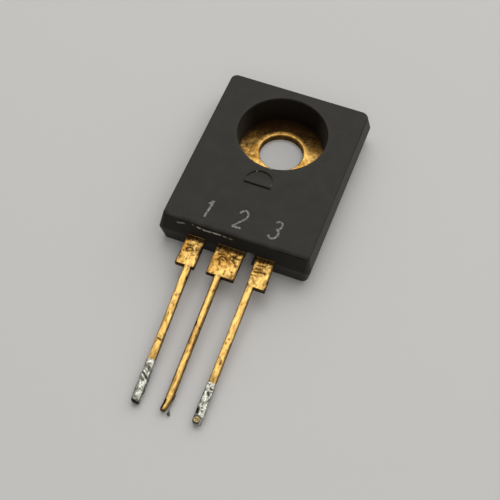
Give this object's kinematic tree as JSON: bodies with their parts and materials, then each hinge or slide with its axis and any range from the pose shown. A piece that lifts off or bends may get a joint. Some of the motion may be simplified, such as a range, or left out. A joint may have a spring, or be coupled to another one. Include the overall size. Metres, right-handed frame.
{
  "type": "npn power transistor",
  "caption": "Flat moulded power transistor with a round recess over a gold-plated mounting plate and its screw hole, flat gold-plated leads and old solder on lead ends.",
  "frame": {"origin": "on the axis of the screw hole, in the plane of the back face", "axes": "+Z along the hole's axis out of the marked front face; -Y the way the leads run; +X to the right seen from the front with the leads towards the viewer"},
  "size_m": [0.0126, 0.0305, 0.0033],
  "materials": {
    "case_moulding": "dark warm grey moulding compound, matte",
    "plated_copper": "gold plating on copper, worn and browned in places",
    "silicon": "polished silicon",
    "solder": "dull tin-lead solder",
    "aluminium_wire": "drawn aluminium wire",
    "silicone_gel": "soft silicone"
  },
  "bodies": {
    "root": {"moulded_case": "case_moulding", "mounting_plate": "plated_copper", "collector_lead": "plated_copper", "emitter_lead": "plated_copper", "base_lead": "plated_copper", "silicon_die": "silicon", "die_solder": "solder", "collector_solder": "solder", "emitter_end_solder": "solder", "base_end_solder": "solder", "emitter_wire": "aluminium_wire", "base_wire": "aluminium_wire", "junction_gel": "silicone_gel"}
  },
  "joints": []
}
